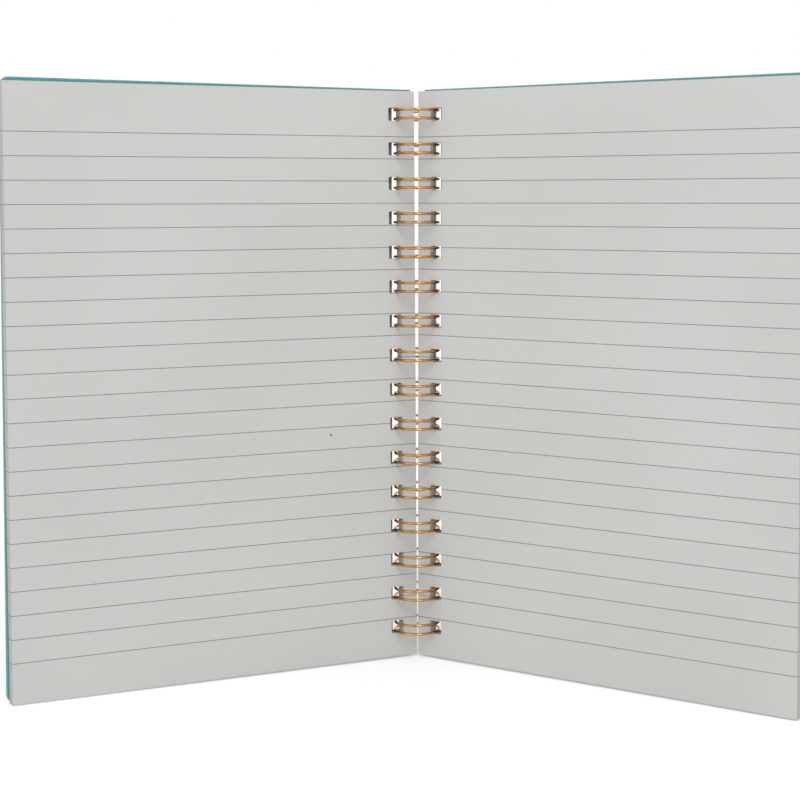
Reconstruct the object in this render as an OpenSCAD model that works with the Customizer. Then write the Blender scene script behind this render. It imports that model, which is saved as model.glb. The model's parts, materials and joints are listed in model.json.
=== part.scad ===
// Ruled notebook in hard covers on a twin-loop wire binding, standing open.
// Millimetres, +Z up. It stands on the lower edges of its covers and opens towards -Y.

/* [Leaves] */
// Width of a leaf, from spine edge to fore edge
leaf_w = 148; // [120:1:180]
// Height of a leaf
leaf_h = 210; // [180:1:240]
// Thickness of the stack of leaves on each side
stack_t = 3; // [1:0.25:3.5]
// Gap between the two facing pages when the book is shut
page_gap = 0.4; // [0.2:0.1:1]
// Gap between the spine edges of the two stacks when the book lies flat
leaf_edge_gap = 0.6; // [0.4:0.1:2]
// How far the fore edge of the left leaves hangs below its square position
fore_drop = 0.7; // [0:0.1:0.7]

/* [Covers] */
// Thickness of a cover board with its covering
board_t = 1.8; // [1.2:0.1:2.2]
// Thickness of the lining sheet glued inside a cover
lining_t = 0.25; // [0.15:0.05:0.4]
// Width of covering left bare around the lining
turn_in = 2.2; // [1:0.1:5]
// How far a cover stands beyond the leaves at head, tail and fore edge
overhang = 0.9; // [0.8:0.1:3]
// Corner radius of a cover at its fore edge
cover_corner_r = 3; // [1:0.5:8]
// Gap between the spine edges of the two covers when the book lies flat
cover_edge_gap = 1.8; // [1.6:0.1:3]
// Room between the leaves and the lining
slip = 0.3; // [0.2:0.05:0.5]

/* [Binding] */
// Diameter of the wire
wire_d = 1; // [0.8:0.1:1.2]
// Diameter of a ring, measured between wire centres
ring_d = 16.4; // [15.6:0.2:20]
// Distance between the two wires of a loop
twin_gap = 3.15; // [2.6:0.05:3.6]
// Distance from one loop to the next
loop_pitch = 12.7; // [11:0.1:14]
// Bend radius where a wire turns to run to the next loop
link_bend_r = 1; // [0.8:0.1:1.6]
// Free space between the tip of a loop and the bends on both sides of it
tip_gap = 0.25; // [0.15:0.05:0.6]
// Angle of the seam behind the back cover, from the X axis
seam_angle = 52; // [48:1:62]

/* [Holes] */
// Width of a punched hole, out from the spine
hole_w = 4.8; // [4.4:0.1:5.6]
// Room above and below the wires in a hole
hole_play = 0.33; // [0.3:0.01:0.6]
// Room in the leaves between the ring and the far side of a hole
leaf_reach = 2; // [0.4:0.1:2.4]
// Room in the covers between the ring and the far side of a hole
cover_reach = 0.6; // [0.4:0.1:1.2]
// How far the row of holes sits above the middle of the leaves
row_lift = 1.2; // [0:0.1:1.8]

/* [Stance] */
// Angle between the two open pages
open_angle = 124; // [110:1:150]

/* [Hidden] */
$fn = 96;
side_angle = (180 - open_angle) / 2;
ring_r = ring_d / 2;
mid_z = overhang + leaf_h / 2;
loops = floor(leaf_h / loop_pitch);
row_z = mid_z + row_lift;
hole_h = twin_gap + wire_d + 2 * hole_play;
cut = 0.5; // how far a cutting solid runs past the faces
tip_d = 0.96 * wire_d; // the wire is drawn a little thinner round the tip of a loop
tip_nick = 0.02; // how far past the end of the arc a tip begins to turn
tip_leg = 0.3; // straight leg of a tip, in line with the arc

// Depths behind the ring's axis plane, from the page inwards
leaf_y = page_gap / 2;
lining_y = leaf_y + stack_t + slip;
board_y = lining_y + lining_t;
back_y = board_y + board_t;

// Distances out from the ring's axis, along the page
leaf_x = leaf_edge_gap / 2;
leaf_hole_x = ring_r + wire_d / 2 + leaf_reach - hole_w;
cover_x = cover_edge_gap / 2;
cover_hole_x = sqrt(pow(ring_r, 2) - pow(lining_y, 2)) + wire_d / 2 + cover_reach - hole_w;
cover_w = leaf_x + leaf_w + overhang - cover_x;
cover_h = leaf_h + 2 * overhang;

// The left leaves hang askew about the middle of their row of holes
hang_x = leaf_hole_x + hole_w / 2;
hang_angle = asin(fore_drop / (leaf_x + leaf_w - hang_x));

// Arc of a ring, from the links round to the loop tip that lies between two bends
bend_mid = twin_gap / 2 + link_bend_r;
seam_len = sqrt(pow(bend_mid + wire_d + tip_gap, 2) - pow(bend_mid, 2));
arc_angle = 360 - seam_len / ring_r * 180 / PI;

// The origin lies on the floor, under the middle of the bounding box
fore_x = hang_x + (leaf_x + leaf_w - hang_x) * cos(hang_angle)
    + (overhang + leaf_h - row_z) * sin(hang_angle);
front_y = leaf_y * cos(side_angle) - fore_x * sin(side_angle);
rear_y = ring_r + wire_d / 2;
axis_y = -(front_y + rear_y) / 2;

function loop_z(i) = row_z + (i - (loops - 1) / 2) * loop_pitch;

// Right side of the book: X runs out along the page and Y back through the thickness
module right_side() translate([0, axis_y, 0]) rotate([0, 0, -side_angle]) children();

module left_side() mirror([1, 0, 0]) right_side() children();

module hole_row(x, y, t) {
    for (i = [0 : loops - 1])
        translate([x, y - cut, loop_z(i) - hole_h / 2]) cube([hole_w, t + 2 * cut, hole_h]);
}

module leaf_stack() {
    difference() {
        translate([leaf_x, leaf_y, overhang]) cube([leaf_w, stack_t, leaf_h]);
        hole_row(leaf_hole_x, leaf_y, stack_t);
    }
}

// Sheet with rounded corners at the fore edge and square ones at the spine
module sheet_outline(w, h, r) {
    square([w - r, h]);
    translate([0, r]) square([w, h - 2 * r]);
    for (z = [r, h - r]) translate([w - r, z]) circle(r);
}

module punched_sheet(x, y, z, w, t, h, r) {
    difference() {
        translate([x, y + t, z]) rotate([90, 0, 0]) linear_extrude(t) sheet_outline(w, h, r);
        hole_row(cover_hole_x, y, t);
    }
}

module cover_board() {
    punched_sheet(cover_x, board_y, 0, cover_w, board_t, cover_h, cover_corner_r);
}

module cover_lining() {
    punched_sheet(cover_x, lining_y, turn_in, cover_w - turn_in, lining_t,
        cover_h - 2 * turn_in, cover_corner_r / 2);
}

// Frame on the ring at an angle from the links: X out from the axis, Y along the turn
module on_ring(angle) rotate([0, 0, angle]) translate([ring_r, 0, 0]) children();

module wire_arc() {
    rotate_extrude(angle = arc_angle) translate([ring_r, 0]) circle(d = wire_d);
}

// Closed tip that joins the two wires of a loop, with legs that end inside them
module loop_tip() {
    on_ring(arc_angle) translate([0, tip_nick, 0]) {
        rotate([0, 90, 0]) rotate_extrude(angle = 180)
            translate([twin_gap / 2, 0]) circle(d = tip_d);
        for (side = [-1, 1]) translate([0, 0, side * twin_gap / 2]) rotate([90, 0, 0])
            cylinder(d = tip_d, h = tip_leg);
    }
}

// Bend from the upper wire of a loop into the link above it
module link_bend() {
    on_ring(0) translate([0, 0, link_bend_r]) rotate([0, 90, 0]) rotate([0, 0, -90])
        rotate_extrude(angle = 90) translate([link_bend_r, 0]) circle(d = wire_d);
}

module link() {
    on_ring(0) translate([0, -link_bend_r, link_bend_r])
        cylinder(d = wire_d, h = loop_pitch - twin_gap - 2 * link_bend_r);
}

module wire_loop(first, last) {
    for (side = [-1, 1]) translate([0, 0, side * twin_gap / 2]) wire_arc();
    loop_tip();
    if (!last) translate([0, 0, twin_gap / 2]) {
        link_bend();
        link();
    }
    if (!first) translate([0, 0, -twin_gap / 2]) mirror([0, 0, 1]) link_bend();
}

module right_leaves() color("whitesmoke") right_side() leaf_stack();

module left_leaves() {
    color("whitesmoke") left_side()
        translate([hang_x, 0, row_z]) rotate([0, hang_angle, 0]) translate([-hang_x, 0, -row_z])
            leaf_stack();
}

module front_cover() color("teal") left_side() cover_board();

module front_lining() color("gainsboro") left_side() cover_lining();

module back_cover() color("teal") right_side() cover_board();

module back_lining() color("gainsboro") right_side() cover_lining();

module wire_binding() {
    color("goldenrod") translate([0, axis_y, 0]) rotate([0, 0, seam_angle])
        for (i = [0 : loops - 1])
            translate([0, 0, loop_z(i)]) wire_loop(first = i == 0, last = i == loops - 1);
}

right_leaves();
wire_binding();
left_leaves();
front_cover();
front_lining();
back_cover();
back_lining();
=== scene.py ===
# Ruled notebook in hard covers on a twin-loop wire, standing open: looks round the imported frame
import json
import math
import random

import bpy
from mathutils import Matrix, Vector

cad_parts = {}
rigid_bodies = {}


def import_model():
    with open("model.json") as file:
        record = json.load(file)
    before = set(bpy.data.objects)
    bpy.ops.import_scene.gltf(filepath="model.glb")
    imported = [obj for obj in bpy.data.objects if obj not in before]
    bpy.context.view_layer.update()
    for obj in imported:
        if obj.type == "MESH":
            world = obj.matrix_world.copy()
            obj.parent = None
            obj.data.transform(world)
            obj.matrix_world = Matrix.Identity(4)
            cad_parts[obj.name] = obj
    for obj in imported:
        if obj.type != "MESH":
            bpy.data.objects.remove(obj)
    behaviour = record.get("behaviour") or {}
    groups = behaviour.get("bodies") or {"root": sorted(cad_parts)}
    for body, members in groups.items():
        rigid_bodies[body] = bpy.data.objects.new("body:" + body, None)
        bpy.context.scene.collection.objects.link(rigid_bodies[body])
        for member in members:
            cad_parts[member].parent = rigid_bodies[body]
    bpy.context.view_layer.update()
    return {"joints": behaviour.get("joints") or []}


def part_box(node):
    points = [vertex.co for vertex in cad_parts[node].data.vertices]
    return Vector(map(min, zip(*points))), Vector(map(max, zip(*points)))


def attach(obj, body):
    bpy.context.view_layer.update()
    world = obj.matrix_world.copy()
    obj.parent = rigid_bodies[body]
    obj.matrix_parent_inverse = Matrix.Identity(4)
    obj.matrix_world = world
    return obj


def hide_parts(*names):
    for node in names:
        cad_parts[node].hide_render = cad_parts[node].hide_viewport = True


mm = 0.001
slack = 0.01  # millimetres by which two places may differ and still be one
sheetSeed = 7  # fixes how untidily the sheets lie

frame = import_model()
hinge = {joint["name"]: joint for joint in frame["joints"]}["left_leaves_turn"]
ringAxis = Vector(hinge["pos_m"])  # upright line that the rings and both halves turn about
sideAngle = math.radians(-hinge["range_deg"][0] / 2)  # each page's turn from lying flat
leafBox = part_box("right_leaves")
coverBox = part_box("back_cover")
leafLow = leafBox[0].z / mm
leafHeight = (leafBox[1].z - leafBox[0].z) / mm
coverHeight = (coverBox[1].z - coverBox[0].z) / mm
random.seed(sheetSeed)
print("stage: frame loaded")

# Millimetres in the right half's own frame: X out along the page, Y back through the book, Z up
row = {"count": 16, "pitch": 12.7, "middle": 107.1, "twinGap": 3.15}
hole = {
    "width": 4.8, "height": 4.81, "corner": 0.45, "cornerSteps": 3,
    "leafX": 5.9, "coverX": 3.717, "past": 1,
}


def loopZ(index):
    return row["middle"] + (index - (row["count"] - 1) / 2) * row["pitch"]


# Selecting, starting and placing pieces

def clearSelection():
    if bpy.context.object and bpy.context.object.mode != "OBJECT":
        bpy.ops.object.mode_set(mode="OBJECT")
    for thing in bpy.context.view_layer.objects:
        thing.select_set(False)


def pick(*things):
    clearSelection()
    for thing in things:
        thing.select_set(True)
    bpy.context.view_layer.objects.active = things[0]


def editAll(piece):
    pick(piece)
    bpy.ops.object.mode_set(mode="EDIT")
    bpy.ops.mesh.select_all(action="SELECT")


def selectEdges(piece, test):
    pick(piece)
    bpy.ops.object.mode_set(mode="EDIT")
    bpy.ops.mesh.select_mode(type="EDGE")
    bpy.ops.mesh.select_all(action="DESELECT")
    bpy.ops.object.mode_set(mode="OBJECT")
    points = piece.data.vertices
    for edge in piece.data.edges:
        edge.select = test(points[edge.vertices[0]].co, points[edge.vertices[1]].co)
    bpy.ops.object.mode_set(mode="EDIT")


def startBox(name, low, high):
    clearSelection()
    bpy.ops.mesh.primitive_cube_add(size=1, location=[(a + b) / 2 * mm for a, b in zip(low, high)])
    piece = bpy.context.object
    piece.name = piece.data.name = name
    piece.scale = [(b - a) * mm for a, b in zip(low, high)]
    bpy.ops.object.transform_apply(location=True, rotation=True, scale=True)
    return piece


def copyPiece(piece, name, move=(0, 0, 0)):
    twin = piece.copy()
    twin.data = piece.data.copy()
    twin.name = twin.data.name = name
    twin.data.transform(Matrix.Translation(Vector(move) * mm))
    bpy.context.collection.objects.link(twin)
    return twin


def joinPieces(pieces, name):
    pick(*pieces)
    bpy.ops.object.join()
    whole = bpy.context.object
    whole.name = whole.data.name = name
    return whole


def applyModifier(piece, kind, **settings):
    pick(piece)
    modifier = piece.modifiers.new(kind.title(), kind)
    for key, value in settings.items():
        setattr(modifier, key, value)
    bpy.ops.object.modifier_apply(modifier=modifier.name)


def facesOut(piece):
    editAll(piece)
    bpy.ops.mesh.normals_make_consistent(inside=False)
    bpy.ops.object.mode_set(mode="OBJECT")


def standUp(piece, left, askew=0, pivotX=0):
    turn = Matrix.Identity(4)
    if askew:  # leaves that hang a little out of square on their rings
        pivot = Matrix.Translation(Vector((pivotX, 0, row["middle"])) * mm)
        turn = pivot @ Matrix.Rotation(askew, 4, "Y") @ pivot.inverted()
    turn = Matrix.Translation(ringAxis) @ Matrix.Rotation(-sideAngle, 4, "Z") @ turn
    if left:
        turn = Matrix.Scale(-1, 4, (1, 0, 0)) @ turn
    piece.data.transform(turn)
    facesOut(piece)


def shadeSmooth(piece, sharpAngle):
    pick(piece)
    bpy.ops.object.shade_smooth_by_angle(angle=math.radians(sharpAngle))


# Materials: each finish has its own scale, detail, depth and strength in its piece's dictionary

def newMaterial(name, colour, roughness, specular=0.5, metallic=0):
    material = bpy.data.materials.new(name)
    material.use_nodes = True
    shader = material.node_tree.nodes["Principled BSDF"]
    shader.inputs["Base Color"].default_value = (*colour, 1)
    shader.inputs["Roughness"].default_value = roughness
    shader.inputs["Specular IOR Level"].default_value = specular
    shader.inputs["Metallic"].default_value = metallic
    return material, shader


def addNode(material, kind, inputs=None, **settings):
    node = material.node_tree.nodes.new("ShaderNode" + kind)
    for key, value in settings.items():
        setattr(node, key, value)
    for key, value in (inputs or {}).items():
        if isinstance(value, bpy.types.NodeSocket):
            material.node_tree.links.new(value, node.inputs[key])
        else:
            node.inputs[key].default_value = value
    return node


def maths(material, operation, first, second=0.0):
    return addNode(material, "Math", {0: first, 1: second}, operation=operation).outputs[0]


def grainNoise(material, piece, finish):
    where = addNode(material, "TexCoord").outputs["Object"]
    return addNode(material, "TexNoise", {
        "Vector": where, "Scale": piece[finish + "Scale"], "Detail": piece[finish + "Detail"]}).outputs[0]


def mapRange(material, value, limits, toLow=0.0, toHigh=1.0):
    return addNode(material, "MapRange", {
        "Value": value, "From Min": limits[0], "From Max": limits[1],
        "To Min": toLow, "To Max": toHigh}).outputs[0]


def mixColours(material, amount, first, second):
    inputs = {0: amount}
    for slot, colour in ((6, first), (7, second)):  # the node's two colour inputs
        inputs[slot] = colour if isinstance(colour, bpy.types.NodeSocket) else (*colour, 1)
    return addNode(material, "Mix", inputs, data_type="RGBA").outputs[2]


def addBump(material, shader, height, piece, finish):
    bump = addNode(material, "Bump", {
        "Height": height, "Distance": piece[finish + "Depth"] * mm, "Strength": piece[finish + "Strength"]})
    material.node_tree.links.new(bump.outputs[0], shader.inputs["Normal"])


def paintBase(material, shader, colour):
    material.node_tree.links.new(colour, shader.inputs["Base Color"])


paper = {
    "sheets": 25, "sheetDepth": 0.1, "x": 0.45, "width": 147.845, "y": 0.2, "depth": 3,
    "edgeJitter": 0.12, "fan": 0.55, "leftDrop": 0.7, "rightDrop": 0.3,
    "grid": 6, "ripple": 0.09, "rippleFade": 12,
    "swell": (23, 31), "swellStart": (0.6, 0.9), "ruffle": (9.5, 17),
    "faceOn": 0.7, "sharpAngle": 35,  # a face counts as page from this share of its normal along Y
    # colour and shade are greyer than white paper: the pages' own tone plus painted shade, the grey they
    # show in the shade of the open book
    "colour": (0.6, 0.6, 0.586), "shade": (0.576, 0.576, 0.562), "roughness": 0.8, "gloss": 0.25,
    "cloudScale": 14, "cloudDetail": 1, "cloudLimits": (0.35, 0.65),
    "fibreScale": 2600, "fibreDetail": 2, "fibreDepth": 0.03, "fibreStrength": 0.5,
    "lineColour": (0.235, 0.232, 0.228), "lineWidth": 0.3, "lineRims": (0.36, 0.64),
    "linePitch": 8.14, "lineCount": 23, "firstLine": 16.8, "inkDensity": 0.86, "inkLimits": (0.3, 0.7),
    "speck": (-34, 84.5), "speckRadius": 0.35, "speckColour": (0.05, 0.045, 0.04),
    "edgeColour": (0.6, 0.595, 0.58), "edgeShade": (0.516, 0.512, 0.499),
    "edgeRoughness": 0.9, "edgeGloss": 0.15,
    "edgeScale": 900, "edgeDetail": 2, "edgeDepth": 0.06, "edgeStrength": 0.6,
}


def ruledInk(material, page, fibre):
    pitch, count = paper["linePitch"], paper["lineCount"]
    height = addNode(material, "SeparateXYZ", {0: page}).outputs[1]
    lowest = leafHeight - paper["firstLine"] - pitch * (count - 1)
    step = maths(material, "DIVIDE", maths(material, "SUBTRACT", height, lowest * mm), pitch * mm)
    nearest = maths(material, "ROUND", step)
    away = maths(material, "ABSOLUTE", maths(material, "SUBTRACT", step, nearest))
    away = maths(material, "MULTIPLY", away, pitch)
    rims = [paper["lineWidth"] * part for part in paper["lineRims"]]  # the ink thins out between these
    ink = mapRange(material, away, rims, 1.0, 0.0)
    ink = maths(material, "MULTIPLY", ink, maths(material, "GREATER_THAN", nearest, -0.5))
    ink = maths(material, "MULTIPLY", ink, maths(material, "LESS_THAN", nearest, count - 0.5))
    return maths(material, "MULTIPLY", ink, mapRange(
        material, fibre, paper["inkLimits"], paper["inkDensity"], 1.0))


def paperMaterial():
    material, shader = newMaterial("ruledPaper", paper["colour"], paper["roughness"], paper["gloss"])
    fibre = grainNoise(material, paper, "fibre")
    cloud = mapRange(material, grainNoise(material, paper, "cloud"), paper["cloudLimits"])
    # the paper tones carry painted shade as well as the paper's own colour
    tone = mixColours(material, cloud, paper["colour"], paper["shade"])
    page = addNode(material, "UVMap", uv_map="pageMap").outputs[0]
    tone = mixColours(material, ruledInk(material, page, fibre), tone, paper["lineColour"])
    speck = [part * mm for part in paper["speck"]]  # one fleck of ink, on the left page alone
    reach = addNode(material, "VectorMath", {0: page, 1: (*speck, 0)}, operation="DISTANCE")
    fleck = maths(material, "LESS_THAN", reach.outputs["Value"], paper["speckRadius"] * mm)
    paintBase(material, shader, mixColours(material, fleck, tone, paper["speckColour"]))
    addBump(material, shader, fibre, paper, "fibre")
    return material


def paperEdgeMaterial():
    material, shader = newMaterial(
        "cutPaperEdge", paper["edgeColour"], paper["edgeRoughness"], paper["edgeGloss"])
    grain = grainNoise(material, paper, "edge")
    paintBase(material, shader, mixColours(material, grain, paper["edgeColour"], paper["edgeShade"]))
    addBump(material, shader, grain, paper, "edge")
    return material


covers = {
    "x": 0.9, "width": 148.3, "boardY": 3.75, "boardDepth": 1.8,
    "corner": 3, "cornerSteps": 10, "edge": 0.45, "edgeSteps": 4, "edgeOn": 0.3, "sharpAngle": 35,
    "colour": (0.075, 0.29, 0.315), "faded": (0.12, 0.36, 0.38), "worn": (0.26, 0.36, 0.35),
    "roughness": 0.55, "gloss": 0.4, "cloudScale": 30, "cloudDetail": 2, "cloudShare": 0.35,
    "grainScale": 1500, "grainDetail": 3, "grainDepth": 0.08, "grainStrength": 0.55,
    "wearScale": 420, "wearDetail": 2, "wearLimits": (0.36, 0.56), "wear": 0.75,
    "coreColour": (0.36, 0.33, 0.29), "coreShade": (0.216, 0.198, 0.174),
    "coreRoughness": 0.95, "coreGloss": 0.1,
    "coreScale": 1300, "coreDetail": 3, "coreDepth": 0.1, "coreStrength": 0.8,
}
linings = {
    "y": 3.5, "depth": 0.25, "turnIn": 2.2,
    "corner": 1.5, "cornerSteps": 10, "edge": 0.06, "edgeSteps": 2, "sharpAngle": 35,
    # the lining colour is partly its own grey and partly painted shade, darkened to the shade it lies in
    # within the gutter and the holes
    "colour": (0.27, 0.25, 0.24), "shade": (0.243, 0.225, 0.216), "roughness": 0.8, "gloss": 0.25,
    "cloudScale": 18, "cloudDetail": 2,
    "fibreScale": 2200, "fibreDetail": 2, "fibreDepth": 0.03, "fibreStrength": 0.5,
}


def coveringMaterial():
    material, shader = newMaterial("tealCovering", covers["colour"], covers["roughness"], covers["gloss"])
    grain = grainNoise(material, covers, "grain")
    cloud = maths(material, "MULTIPLY", grainNoise(material, covers, "cloud"), covers["cloudShare"])
    tone = mixColours(material, cloud, covers["colour"], covers["faded"])
    rim = addNode(material, "Attribute", attribute_name="rim").outputs["Fac"]
    rubbed = mapRange(
        material, grainNoise(material, covers, "wear"), covers["wearLimits"], 0.0, covers["wear"])
    tone = mixColours(material, maths(material, "MULTIPLY", rim, rubbed), tone, covers["worn"])
    paintBase(material, shader, tone)
    addBump(material, shader, grain, covers, "grain")
    return material


def boardMaterial():
    material, shader = newMaterial(
        "punchedGreyBoard", covers["coreColour"], covers["coreRoughness"], covers["coreGloss"])
    grain = grainNoise(material, covers, "core")
    paintBase(material, shader, mixColours(material, grain, covers["coreColour"], covers["coreShade"]))
    addBump(material, shader, grain, covers, "core")
    return material


def liningMaterial():
    # the lining's base colour carries painted shade as well as its own grey
    material, shader = newMaterial("liningGreyAndPaintedShade", linings["colour"], linings["roughness"], linings["gloss"])
    cloud = grainNoise(material, linings, "cloud")
    paintBase(material, shader, mixColours(material, cloud, linings["colour"], linings["shade"]))
    addBump(material, shader, grainNoise(material, linings, "fibre"), linings, "fibre")
    return material


wire = {
    "diameter": 1, "ringRadius": 8.2, "seamAngle": 52, "tipGap": 0.25, "bendRadius": 1,
    "sides": 14, "arcSteps": 64, "tipSteps": 14, "bendSteps": 6, "sharpAngle": 50,
    # the second, darker copper tone is painted dark reflection, mixed in at random by the cloud noise; the
    # plating itself is even
    "colour": (0.70, 0.37, 0.125), "paintedDarkReflection": (0.36, 0.14, 0.03), "roughness": 0.15,
    "cloudScale": 350, "cloudDetail": 2,
    "fineScale": 5000, "fineDetail": 1, "fineDepth": 0.01, "fineStrength": 0.3,
}


def wireMaterial():
    material, shader = newMaterial("copperGoldWire", wire["colour"], wire["roughness"], metallic=1)
    cloud = grainNoise(material, wire, "cloud")
    # mixes the painted dark reflection into the wire's copper-gold at random
    paintBase(material, shader, mixColours(material, cloud, wire["colour"], wire["paintedDarkReflection"]))
    addBump(material, shader, grainNoise(material, wire, "fine"), wire, "fine")
    return material


ruledPaper = paperMaterial()
cutEdge = paperEdgeMaterial()
tealCovering = coveringMaterial()
greyBoard = boardMaterial()
liningGreyAndPaintedShade = liningMaterial()
copperGold = wireMaterial()
print("stage: materials ready")


# Punched holes

def punchRow(x, y, depth):
    punch = startBox("punch", (x, y - hole["past"], loopZ(0) - hole["height"] / 2),
                     (x + hole["width"], y + depth + hole["past"], loopZ(0) + hole["height"] / 2))
    selectEdges(punch, lambda a, b: abs(a.y - b.y) > 0.5 * depth * mm)
    bpy.ops.mesh.bevel(offset=hole["corner"] * mm, segments=hole["cornerSteps"], affect="EDGES")
    bpy.ops.object.mode_set(mode="OBJECT")
    punches = [punch]
    for index in range(1, row["count"]):
        punches.append(copyPiece(punch, "punch", (0, 0, index * row["pitch"])))
    return joinPieces(punches, "punches")


def punchHoles(piece, x, y, depth):
    punches = punchRow(x, y, depth)
    applyModifier(piece, "BOOLEAN", object=punches, operation="DIFFERENCE", solver="EXACT")
    bpy.data.objects.remove(punches)


# Leaves

def rippleSheet(sheet):
    editAll(sheet)
    bpy.ops.mesh.quads_convert_to_tris()
    for axis, low, size in ((0, paper["x"], paper["width"]), (2, leafLow, leafHeight)):
        count = round(size / paper["grid"])
        normal = [float(axis == side) for side in range(3)]
        for index in range(1, count):
            place = [(low + size * index / count) * mm * part for part in normal]
            bpy.ops.mesh.select_all(action="SELECT")
            bpy.ops.mesh.bisect(plane_co=place, plane_no=normal)
    bpy.ops.object.mode_set(mode="OBJECT")
    for vertex in sheet.data.vertices:  # a soft swell of the sheet towards the reader
        across, up = vertex.co.x / mm, vertex.co.z / mm
        swell = (math.sin(across / paper["swell"][0] + paper["swellStart"][0])
                 * math.sin(up / paper["swell"][1] + paper["swellStart"][1]))
        ruffle = math.sin(across / paper["ruffle"][0] + up / paper["ruffle"][1])
        toEdge = min(across - paper["x"], paper["x"] + paper["width"] - across)
        fade = min(1, toEdge / paper["rippleFade"])
        vertex.co.y -= paper["ripple"] * (0.5 + (swell + 0.5 * ruffle) / 3) * fade * mm


def mapPage(leaves, side):
    pageMap = leaves.data.uv_layers.new(name="pageMap")
    points = leaves.data.vertices
    for loop in leaves.data.loops:
        point = points[loop.vertex_index].co
        pageMap.data[loop.index].uv = (side * point.x, point.z - leafLow * mm)


def buildLeaves(name, left):
    holeMiddle = hole["leafX"] + hole["width"] / 2
    sheet = startBox("sheet", (paper["x"], paper["y"], leafLow),
                     (paper["x"] + paper["width"], paper["y"] + paper["sheetDepth"], leafLow + leafHeight))
    for material in (ruledPaper, cutEdge):
        sheet.data.materials.append(material)
    punchHoles(sheet, hole["leafX"], paper["y"], paper["sheetDepth"])
    step = (paper["depth"] - paper["sheetDepth"]) / (paper["sheets"] - 1)
    sheets = []
    for index in range(1, paper["sheets"]):
        inside = index < paper["sheets"] - 1
        fan = paper["fan"] * index / (paper["sheets"] - 1)  # deeper sheets stand further out
        sheets.append(copyPiece(sheet, "sheet", (
            fan + random.uniform(-1, 0) * paper["edgeJitter"] * inside, index * step,
            random.uniform(-0.5, 0.5) * paper["edgeJitter"] * inside)))
    rippleSheet(sheet)
    leaves = joinPieces([sheet, *sheets], name)
    for face in leaves.data.polygons:
        face.material_index = 0 if abs(face.normal.y) > paper["faceOn"] else 1
    mapPage(leaves, -1 if left else 1)
    drop = paper["leftDrop"] if left else paper["rightDrop"]
    askew = math.asin(drop / (paper["x"] + paper["width"] - holeMiddle))
    standUp(leaves, left, askew, holeMiddle)
    shadeSmooth(leaves, paper["sharpAngle"])
    return leaves


rightLeaves = buildLeaves("rightLeafStack", False)
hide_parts("right_leaves")
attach(rightLeaves, "right_half")
leftLeaves = buildLeaves("leftLeafStack", True)
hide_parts("left_leaves")
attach(leftLeaves, "left_half")
print("stage: leaves stacked, punched and ruled")


# Covers and linings

def roundForeCorners(piece, sizes, foreX):
    selectEdges(piece, lambda a, b: (
        min(a.x, b.x) > (foreX - slack) * mm and abs(a.z - b.z) < slack * mm))
    bpy.ops.mesh.bevel(offset=sizes["corner"] * mm, segments=sizes["cornerSteps"], affect="EDGES")
    bpy.ops.object.mode_set(mode="OBJECT")


def softenRims(piece, sizes, y, depth):
    selectEdges(piece, lambda a, b: abs(a.y - b.y) < slack * mm and min(
        abs(a.y - face * mm) for face in (y, y + depth)) < slack * mm)
    bpy.ops.mesh.bevel(offset=sizes["edge"] * mm, segments=sizes["edgeSteps"], affect="EDGES")
    bpy.ops.object.mode_set(mode="OBJECT")


def buildCover(name, left):
    foreX = covers["x"] + covers["width"]
    cover = startBox(name, (covers["x"], covers["boardY"], 0),
                     (foreX, covers["boardY"] + covers["boardDepth"], coverHeight))
    roundForeCorners(cover, covers, foreX)
    softenRims(cover, covers, covers["boardY"], covers["boardDepth"])
    for material in (tealCovering, greyBoard):
        cover.data.materials.append(material)
    punchHoles(cover, hole["coverX"], covers["boardY"], covers["boardDepth"])
    for face in cover.data.polygons:  # bare board in the walls of the holes
        place = face.center / mm
        inRow = hole["coverX"] - slack < place.x < hole["coverX"] + hole["width"] + slack
        inRow = inRow and loopZ(-0.5) < place.z < loopZ(row["count"] - 0.5)
        face.material_index = int(inRow and abs(face.normal.y) < covers["edgeOn"])
    rim = cover.data.attributes.new("rim", "FLOAT", "POINT")  # where hands rub the covering
    for vertex in cover.data.vertices:
        inside = vertex.co.y / mm - covers["boardY"]
        rim.data[vertex.index].value = float(slack < inside < covers["boardDepth"] - slack)
    standUp(cover, left)
    shadeSmooth(cover, covers["sharpAngle"])
    return cover


def buildLining(name, left):
    foreX = covers["x"] + covers["width"] - linings["turnIn"]
    lining = startBox(name, (covers["x"], linings["y"], linings["turnIn"]),
                      (foreX, linings["y"] + linings["depth"], coverHeight - linings["turnIn"]))
    roundForeCorners(lining, linings, foreX)
    softenRims(lining, linings, linings["y"], linings["depth"])
    lining.data.materials.append(liningGreyAndPaintedShade)
    punchHoles(lining, hole["coverX"], linings["y"], linings["depth"])
    standUp(lining, left)
    shadeSmooth(lining, linings["sharpAngle"])
    return lining


for node, body, left in (("front", "front_board", True), ("back", "back_board", False)):
    cover = buildCover(node + "CoverBoard", left)
    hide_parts(node + "_cover")
    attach(cover, body)
    lining = buildLining(node + "LiningSheet", left)
    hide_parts(node + "_lining")
    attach(lining, body)
print("stage: covers wrapped and lined")


# Twin-loop wire: one tube that is spun and extruded from its last ring of points

def spinOn(angle, centre, axis, steps):
    bpy.ops.mesh.spin(steps=steps, angle=-angle, center=[part * mm for part in centre], axis=axis)


def extrudeOn(length):
    bpy.ops.mesh.extrude_region_move(TRANSFORM_OT_translate={"value": (0, 0, length * mm)})


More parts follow.
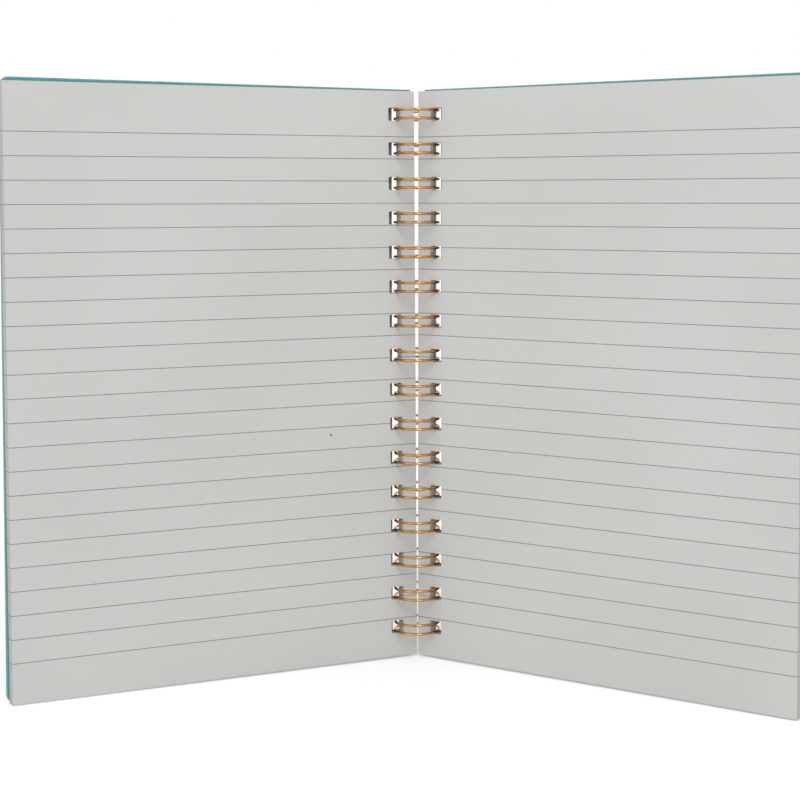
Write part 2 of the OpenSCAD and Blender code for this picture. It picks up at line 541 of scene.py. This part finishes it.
def buildLoop(first, last):
    radius, bend, half = wire["ringRadius"], wire["bendRadius"], row["twinGap"] / 2
    bendMiddle = half + bend
    seam = math.sqrt((bendMiddle + wire["diameter"] + wire["tipGap"]) ** 2 - bendMiddle ** 2)
    arc = 2 * math.pi - seam / radius
    run = row["pitch"] / 2 - bendMiddle
    start = (radius, 0, -half) if first else (radius, -bend, -row["pitch"] / 2)
    clearSelection()
    bpy.ops.mesh.primitive_circle_add(
        vertices=wire["sides"], radius=wire["diameter"] / 2 * mm, location=[part * mm for part in start],
        rotation=(math.pi / 2, 0, 0) if first else (0, 0, 0))
    loop = bpy.context.object
    bpy.ops.object.transform_apply(location=True, rotation=True, scale=True)
    editAll(loop)
    if not first:
        extrudeOn(run)
        spinOn(-math.pi / 2, (radius, 0, -bendMiddle), (1, 0, 0), wire["bendSteps"])
    spinOn(arc, (0, 0, -half), (0, 0, 1), wire["arcSteps"])
    outward = (math.cos(arc), math.sin(arc), 0)
    spinOn(math.pi, (radius * outward[0], radius * outward[1], 0), outward, wire["tipSteps"])
    spinOn(-arc, (0, 0, half), (0, 0, 1), wire["arcSteps"])
    if not last:
        spinOn(-math.pi / 2, (radius, 0, bendMiddle), (1, 0, 0), wire["bendSteps"])
        extrudeOn(run)
    bpy.ops.object.mode_set(mode="OBJECT")
    return loop


def buildWire():
    top = row["count"] - 1
    single = buildLoop(False, False)
    loops = [buildLoop(True, False), buildLoop(False, True)]
    for loop, index in zip(loops, (0, top)):
        loop.data.transform(Matrix.Translation((0, 0, loopZ(index) * mm)))
    for index in range(1, top):
        loops.append(copyPiece(single, "loop", (0, 0, loopZ(index))))
    bpy.data.objects.remove(single)
    whole = joinPieces(loops, "twinLoopWire")
    editAll(whole)
    bpy.ops.mesh.remove_doubles(threshold=slack * mm)
    bpy.ops.mesh.select_all(action="DESELECT")
    bpy.ops.mesh.select_mode(type="EDGE")
    bpy.ops.mesh.select_non_manifold(
        extend=False, use_wire=False, use_multi_face=False, use_non_contiguous=False, use_verts=False)
    bpy.ops.mesh.edge_face_add()  # the wire's two cut ends
    bpy.ops.object.mode_set(mode="OBJECT")
    turn = Matrix.Rotation(math.radians(wire["seamAngle"]), 4, "Z")
    whole.data.transform(Matrix.Translation(ringAxis) @ turn)
    facesOut(whole)
    whole.data.materials.append(copperGold)
    shadeSmooth(whole, wire["sharpAngle"])
    return whole


twinLoopWire = buildWire()
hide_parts("wire_binding")
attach(twinLoopWire, "right_half")
print("stage: wire bent")


# Floor, light and camera

studio = {
    "floorSize": 6, "floorColour": (0.8, 0.8, 0.8), "floorGlow": 0.32, "skyLight": 0.8,
    "keyPower": 11.6, "keySize": 0.7, "keyPlace": (0.5, -1.6, 1.5),
    "fillPower": 5.2, "fillSize": 1.6, "fillPlace": (-1.2, -1.4, 0.9), "lampAim": (0, 0, 0.1),
    "cameraPlace": (53.3, -559.7, 167.5), "pitch": 2.543, "yaw": -3.463, "focalPixels": 1596,
    "shiftX": -0.08, "shiftY": -0.15, "imageSize": 800, "sensor": 36, "nearestSeen": 0.01,
}


def viewedRay(material):
    path = addNode(material, "LightPath").outputs
    seen = maths(material, "MAXIMUM", path["Is Camera Ray"], path["Is Glossy Ray"])
    return maths(material, "MAXIMUM", seen, path["Is Transmission Ray"])


def buildFloor():
    clearSelection()
    bpy.ops.mesh.primitive_plane_add(size=studio["floorSize"], location=(0, 0, 0))
    floor = bpy.context.object
    floor.name = "studioFloor"
    material, shader = newMaterial("whiteFloor", studio["floorColour"], 1, 0)
    glow = addNode(material, "Emission", {"Color": (1, 1, 1, 1)})
    seen = maths(material, "MULTIPLY", viewedRay(material), studio["floorGlow"])
    material.node_tree.links.new(seen, glow.inputs["Strength"])
    both = addNode(material, "AddShader", {0: shader.outputs[0], 1: glow.outputs[0]})
    surface = material.node_tree.nodes["Material Output"].inputs["Surface"]
    material.node_tree.links.new(both.outputs[0], surface)
    floor.data.materials.append(material)


def buildSky():
    world = bpy.data.worlds.new("studioSky")
    bpy.context.scene.world = world
    world.use_nodes = True
    world.cycles.sampling_method = "NONE"  # an even sky needs no map, and renders sooner
    sky = world.node_tree.nodes["Background"]
    sky.inputs["Color"].default_value = (1, 1, 1, 1)
    strength = addNode(world, "MapRange", {
        "Value": viewedRay(world), "To Min": studio["skyLight"], "To Max": 1.0})
    world.node_tree.links.new(strength.outputs[0], sky.inputs["Strength"])


def addLamp(name, place, power, size):
    lamp = bpy.data.lights.new(name, "AREA")
    lamp.energy = power
    lamp.size = size
    holder = bpy.data.objects.new(name, lamp)
    holder.location = place
    holder.rotation_euler = (Vector(place) - Vector(studio["lampAim"])).to_track_quat("Z", "Y").to_euler()
    bpy.context.collection.objects.link(holder)


def addCamera():
    lens = bpy.data.cameras.new("photoView")
    lens.sensor_width = studio["sensor"]
    lens.lens = studio["focalPixels"] * studio["sensor"] / studio["imageSize"]
    lens.shift_x, lens.shift_y = studio["shiftX"], studio["shiftY"]
    lens.clip_start = studio["nearestSeen"]
    holder = bpy.data.objects.new("photoView", lens)
    holder.location = Vector(studio["cameraPlace"]) * mm
    holder.rotation_euler = (math.radians(90 - studio["pitch"]), 0, math.radians(-studio["yaw"]))
    bpy.context.collection.objects.link(holder)
    bpy.context.scene.camera = holder


buildFloor()
buildSky()
addLamp("keyLamp", studio["keyPlace"], studio["keyPower"], studio["keySize"])
addLamp("fillLamp", studio["fillPlace"], studio["fillPower"], studio["fillSize"])
addCamera()
bpy.context.scene.view_settings.view_transform = "Standard"
print("stage: floor, light and camera set")

print("stage: done")
